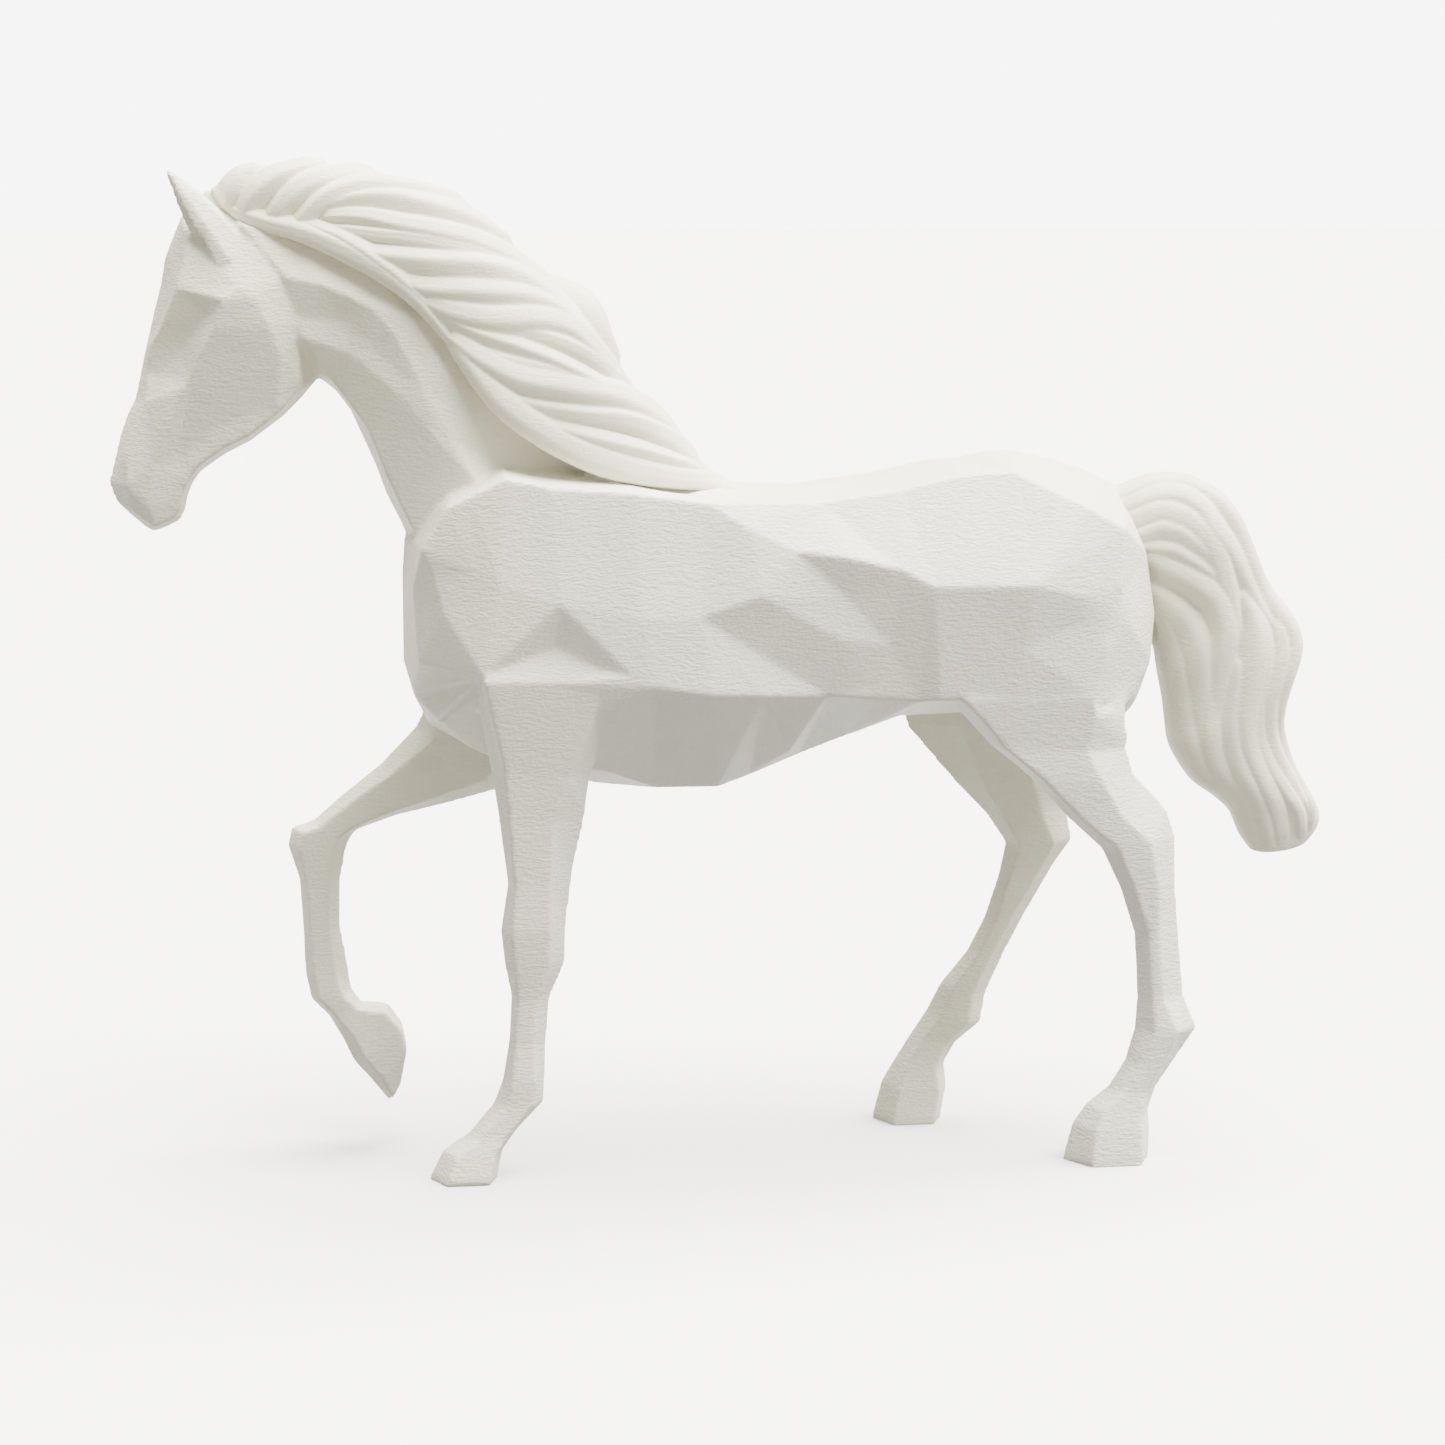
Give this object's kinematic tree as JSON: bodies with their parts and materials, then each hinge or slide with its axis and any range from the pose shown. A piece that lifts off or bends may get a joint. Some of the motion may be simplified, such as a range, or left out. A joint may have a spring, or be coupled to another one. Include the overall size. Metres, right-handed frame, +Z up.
{
  "type": "faceted horse sculpture",
  "caption": "Walking horse ornament of flat facets, one foreleg raised, with a smooth carved mane and tail streaming backwards.",
  "frame": {"origin": "middle of the bounding box, at the height of the soles", "axes": "+Z up; the horse faces -X; its left side faces -Y"},
  "size_m": [0.2494, 0.06, 0.2036],
  "materials": {
    "white_cast_resin": "matte white with a fine level grain"
  },
  "bodies": {
    "root": {"horse": "white_cast_resin"}
  },
  "joints": []
}
